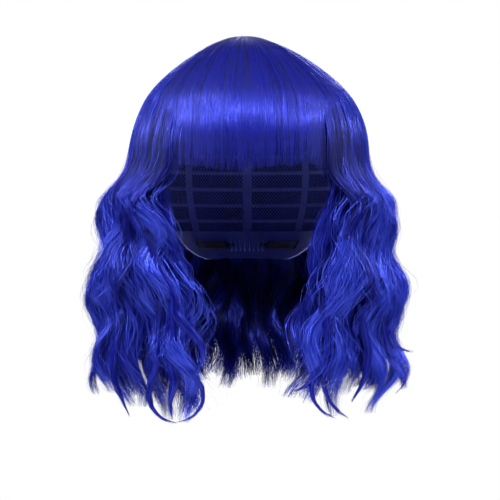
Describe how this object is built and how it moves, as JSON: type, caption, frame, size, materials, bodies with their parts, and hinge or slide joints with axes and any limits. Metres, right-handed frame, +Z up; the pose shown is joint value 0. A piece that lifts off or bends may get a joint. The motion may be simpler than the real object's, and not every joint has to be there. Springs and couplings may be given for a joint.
{
  "type": "costume wig",
  "caption": "Short wavy costume wig: full straight fringe and loose beach waves on a wefted stretch cap with ear tabs and hooked nape adjusters.",
  "frame": {"origin": "centre of the wearer's head on its widest girth, level with the brows, on the face's mid-plane", "axes": "+Z up along the head, -Y out of the face, +X to the right as the face is looked at"},
  "size_m": [0.2726, 0.2418, 0.322],
  "materials": {
    "hair": "satin",
    "net": "matte",
    "band": "satin",
    "ribbon": "satin",
    "elastic": "matte",
    "plastic": "gloss"
  },
  "bodies": {
    "cap": {"cap_net": "net", "crown_pad": "band", "front_band": "band", "nape_band": "band", "ear_binding_left": "band", "ear_binding_right": "band", "ribbon_front": "ribbon", "ribbon_front_right": "ribbon", "ribbon_side_right": "ribbon", "ribbon_back_right": "ribbon", "ribbon_back": "ribbon", "ribbon_back_left": "ribbon", "ribbon_side_left": "ribbon", "ribbon_front_left": "ribbon", "weft_row_1": "ribbon", "weft_row_2": "ribbon", "weft_row_3": "ribbon", "weft_row_4": "ribbon", "weft_row_5": "ribbon", "weft_row_6": "ribbon", "weft_row_7": "ribbon", "weft_row_8": "ribbon", "weft_row_9": "ribbon", "weft_row_10": "ribbon", "weft_row_11": "ribbon", "weft_row_12": "ribbon", "crown_hair_front": "hair", "crown_hair_left": "hair", "crown_hair_right": "hair", "crown_hair_back": "hair", "strap_left": "elastic", "strap_anchor_left": "elastic", "hook_loops_left": "elastic", "strap_right": "elastic", "strap_anchor_right": "elastic", "hook_loops_right": "elastic"},
    "fringe_hair": {"fringe": "hair"},
    "side_hair_left": {"lock_left_1": "hair", "lock_left_2": "hair", "lock_left_3": "hair", "lock_left_4": "hair", "lock_left_5": "hair"},
    "side_hair_right": {"lock_right_1": "hair", "lock_right_2": "hair", "lock_right_3": "hair", "lock_right_4": "hair", "lock_right_5": "hair"},
    "back_hair": {"lock_back_1": "hair", "lock_back_2": "hair", "lock_back_3": "hair", "lock_back_4": "hair", "lock_back_5": "hair", "lock_back_6": "hair"},
    "tab_left": {"ear_tab_left": "band", "ear_tab_stay_left": "plastic"},
    "tab_right": {"ear_tab_right": "band", "ear_tab_stay_right": "plastic"},
    "adjuster_left": {"hook_left": "plastic"},
    "adjuster_right": {"hook_right": "plastic"}
  },
  "joints": [
    {"name": "fringe_lift", "type": "hinge", "parent": "cap", "child": "fringe_hair", "pos_m": [0, -0.0981, 0.0599], "axis": [-1, 0, 0], "range_deg": [0, 50], "stiffness_Nm_per_rad": 0.0006, "springref_deg": -40.11},
    {"name": "side_hair_left_swing", "type": "hinge", "parent": "cap", "child": "side_hair_left", "pos_m": [-0.102, 0, 0.008], "axis": [0, 1, 0], "range_deg": [0, 35], "stiffness_Nm_per_rad": 0.01, "springref_deg": -28.65},
    {"name": "side_hair_right_swing", "type": "hinge", "parent": "cap", "child": "side_hair_right", "pos_m": [0.102, 0, 0.008], "axis": [0, -1, 0], "range_deg": [0, 35], "stiffness_Nm_per_rad": 0.01, "springref_deg": -28.65},
    {"name": "back_hair_lift", "type": "hinge", "parent": "cap", "child": "back_hair", "pos_m": [0, 0.121, 0.008], "axis": [1, 0, 0], "range_deg": [0, 45], "stiffness_Nm_per_rad": 0.04, "springref_deg": -40.11},
    {"name": "tab_left_bend", "type": "hinge", "parent": "cap", "child": "tab_left", "pos_m": [-0.0733, -0.032, 0.0166], "axis": [0.3038, -0.8292, 0.4691], "range_deg": [-6, 14]},
    {"name": "tab_right_bend", "type": "hinge", "parent": "cap", "child": "tab_right", "pos_m": [0.0733, -0.032, 0.0166], "axis": [0.3038, 0.8292, -0.4691], "range_deg": [-6, 14]},
    {"name": "adjuster_left_travel", "type": "hinge", "parent": "cap", "child": "adjuster_left", "pos_m": [0, 0.02696, -0.0613], "axis": [0, 0, -1], "range_deg": [0, 12.5], "stiffness_Nm_per_rad": 0.2, "deforming": ["strap_left"]},
    {"name": "adjuster_right_travel", "type": "hinge", "parent": "cap", "child": "adjuster_right", "pos_m": [0, 0.02696, -0.0613], "axis": [0, 0, 1], "range_deg": [0, 12.5], "stiffness_Nm_per_rad": 0.2, "deforming": ["strap_right"]}
  ]
}
